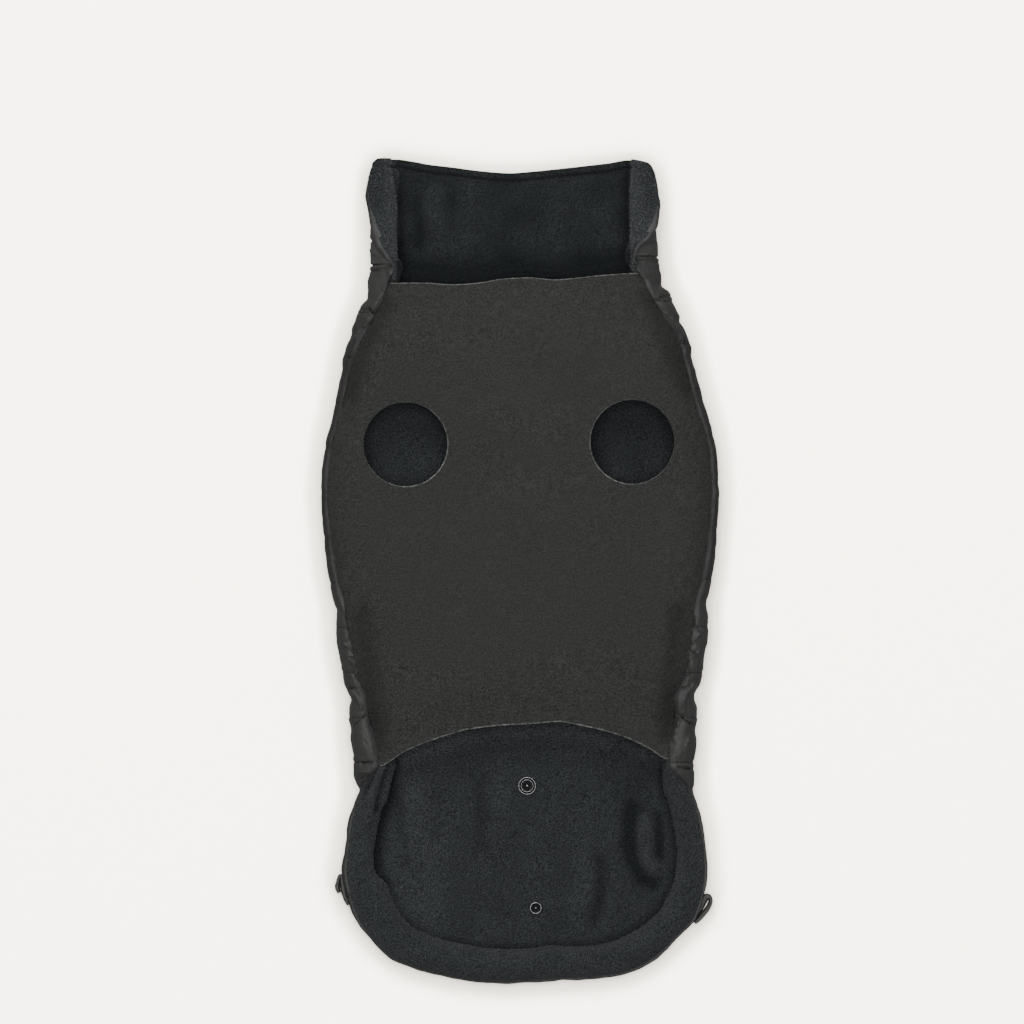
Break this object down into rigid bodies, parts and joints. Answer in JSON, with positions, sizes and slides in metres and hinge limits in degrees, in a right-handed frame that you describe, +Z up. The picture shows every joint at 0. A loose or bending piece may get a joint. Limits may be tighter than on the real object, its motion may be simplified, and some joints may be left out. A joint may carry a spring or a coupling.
{
  "type": "dog winter coat",
  "caption": "Quilted winter coat for a small dog, laid on its back: padded shell, fleece lining, stretch belly panel with round leg holes, stand-up collar and a rump flap.",
  "frame": {"origin": "under the middle of the coat, on the surface it lies on", "axes": "+Z up, out of the surface it lies on; +Y along the back towards the collar; +X towards the wearer's left"},
  "size_m": [0.2246, 0.4677, 0.0308],
  "materials": {
    "black_nylon": "smooth quilted nylon, soft shine",
    "dark_fleece": "brushed fleece",
    "stretch_knit": "matte fine knit",
    "black_snap": "gloss black",
    "black_webbing": "woven"
  },
  "bodies": {
    "root": {"shell_back": "black_nylon", "lining_back": "dark_fleece", "collar_shell": "black_nylon", "lining_collar": "dark_fleece", "belly_panel": "stretch_knit", "hem_facing": "dark_fleece", "snap_stud": "black_snap", "snap_socket": "black_snap", "tab_left": "black_webbing", "tab_right": "black_webbing"}
  },
  "joints": []
}
